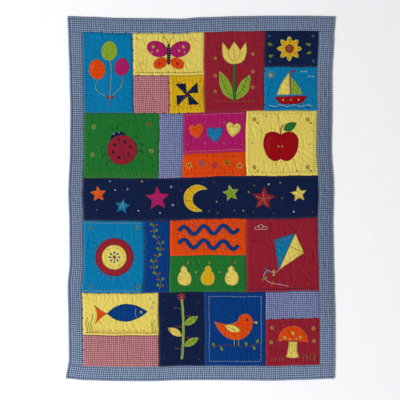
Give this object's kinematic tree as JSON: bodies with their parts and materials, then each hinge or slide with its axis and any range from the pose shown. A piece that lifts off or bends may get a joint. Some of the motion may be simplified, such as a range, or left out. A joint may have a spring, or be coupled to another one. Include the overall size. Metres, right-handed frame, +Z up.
{
  "type": "baby quilt",
  "caption": "Flat wadded baby quilt of bright cotton patches with sewn-on cloth motifs, a blue gingham border and a narrow binding, lying face up.",
  "frame": {"origin": "middle of the quilt's flat underside", "axes": "+X across the quilt to its right as it is read, +Y towards its head end, +Z up out of its face"},
  "size_m": [0.8892, 1.2072, 0.0096],
  "materials": {
    "patchwork": "plain-weave cotton patches over thin wadding, matt and softly puckered",
    "border": "small blue and white woven gingham, matt",
    "binding": "small blue and white woven gingham, folded over the raw edge",
    "yellow_cloth": "yellow plain-weave cotton with a satin-stitched edge",
    "gold_cloth": "gold plain-weave cotton with a satin-stitched edge",
    "orange_cloth": "orange plain-weave cotton with a satin-stitched edge",
    "red_cloth": "red plain-weave cotton with a satin-stitched edge",
    "crimson_cloth": "crimson plain-weave cotton with a satin-stitched edge",
    "magenta_cloth": "magenta plain-weave cotton with a satin-stitched edge",
    "green_cloth": "green plain-weave cotton with a satin-stitched edge",
    "lime_cloth": "lime green plain-weave cotton with a satin-stitched edge",
    "turquoise_cloth": "turquoise plain-weave cotton with a satin-stitched edge",
    "royal_cloth": "royal blue plain-weave cotton with a satin-stitched edge",
    "navy_cloth": "navy plain-weave cotton with a satin-stitched edge"
  },
  "bodies": {
    "root": {"quilt_middle": "patchwork", "border_head": "border", "border_foot": "border", "border_left": "border", "border_right": "border", "binding_head": "binding", "binding_foot": "binding", "binding_left": "binding", "binding_right": "binding", "balloon_low": "orange_cloth", "balloon_high": "lime_cloth", "balloon_right": "magenta_cloth", "butterfly_body": "navy_cloth", "butterfly_wing_left": "magenta_cloth", "butterfly_wing_right": "magenta_cloth", "butterfly_tail_left": "orange_cloth", "butterfly_tail_right": "orange_cloth", "pinwheel": "navy_cloth", "tulip_cup": "yellow_cloth", "tulip_stalk": "green_cloth", "tulip_leaf_left": "lime_cloth", "tulip_leaf_right": "lime_cloth", "daisy": "gold_cloth", "daisy_eye": "crimson_cloth", "boat_hull": "red_cloth", "boat_sail_left": "yellow_cloth", "boat_sail_right": "lime_cloth", "ladybird": "crimson_cloth", "ladybird_head": "navy_cloth", "heart_left": "orange_cloth", "heart_middle": "turquoise_cloth", "heart_right": "yellow_cloth", "apple": "red_cloth", "apple_leaf": "green_cloth", "star_far_left": "orange_cloth", "star_left": "turquoise_cloth", "star_near_left": "magenta_cloth", "moon": "gold_cloth", "star_near_right": "lime_cloth", "star_right": "crimson_cloth", "star_far_right": "yellow_cloth", "penny_large": "crimson_cloth", "penny_small": "yellow_cloth", "wave_upper": "royal_cloth", "wave_lower": "royal_cloth", "pear_left": "yellow_cloth", "pear_middle": "gold_cloth", "pear_right": "yellow_cloth", "kite_left": "turquoise_cloth", "kite_right": "yellow_cloth", "fish": "royal_cloth", "fish_tail": "orange_cloth", "sprig_stalk": "lime_cloth", "sprig_leaf_low": "lime_cloth", "sprig_leaf_middle": "yellow_cloth", "sprig_leaf_high": "lime_cloth", "bird": "orange_cloth", "bird_wing": "yellow_cloth", "mushroom_cap": "orange_cloth", "mushroom_stalk": "yellow_cloth"}
  },
  "joints": []
}
